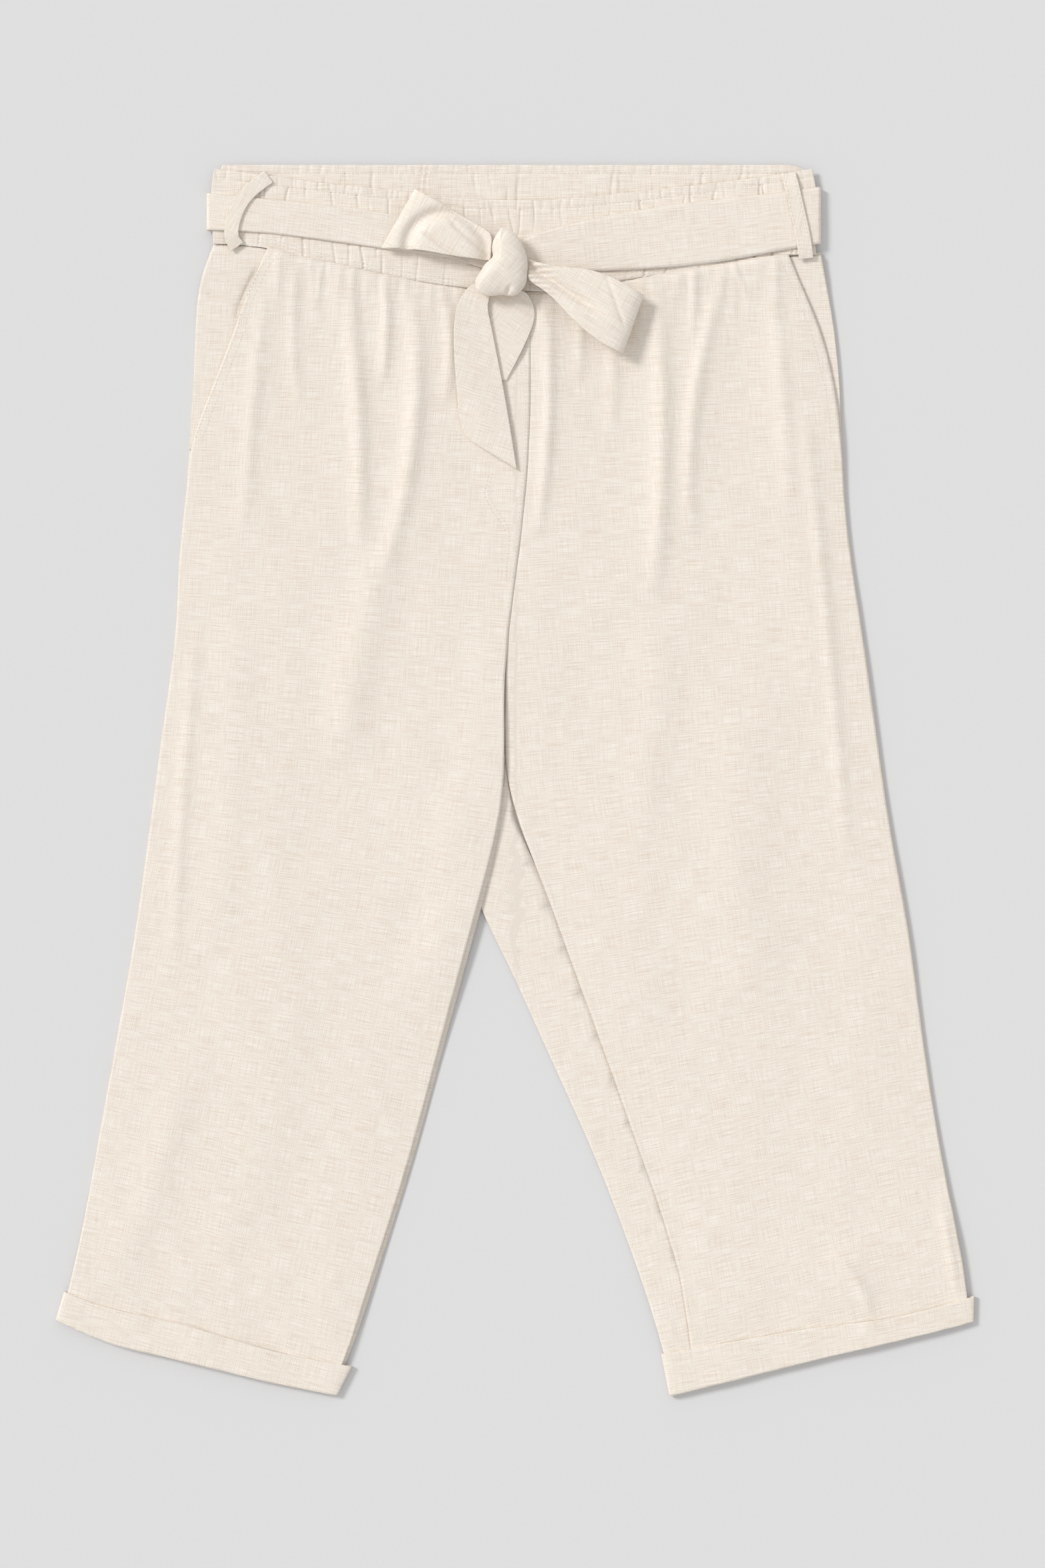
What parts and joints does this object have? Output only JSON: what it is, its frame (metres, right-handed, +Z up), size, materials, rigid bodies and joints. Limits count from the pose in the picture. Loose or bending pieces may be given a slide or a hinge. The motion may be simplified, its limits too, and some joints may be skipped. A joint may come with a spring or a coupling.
{
  "type": "cropped trousers laid flat",
  "caption": "Wide cropped pull-on trousers in pale slubbed linen, laid flat, with elastic waist, slanted pockets, hem turn-ups and a sash tied in a bow.",
  "frame": {"origin": "on the surface that the trousers lie on, under the middle of their outline", "axes": "+Z up off that surface, +Y from the hems to the waist, +X from the left leg to the right leg as seen from above"},
  "size_m": [0.6614, 0.8856, 0.0252],
  "materials": {
    "cloth": "matte"
  },
  "bodies": {
    "root": {"front_left": "cloth", "front_right": "cloth", "side_front_left": "cloth", "side_front_right": "cloth", "back_left": "cloth", "back_right": "cloth", "waistband_front": "cloth", "waistband_back": "cloth", "cuff_left": "cloth", "cuff_right": "cloth", "sash_left": "cloth", "sash_right": "cloth", "sash_back": "cloth", "knot": "cloth", "bow_left": "cloth", "bow_right": "cloth", "tail_long": "cloth", "tail_short": "cloth", "belt_loop_left": "cloth", "belt_loop_right": "cloth"}
  },
  "joints": []
}
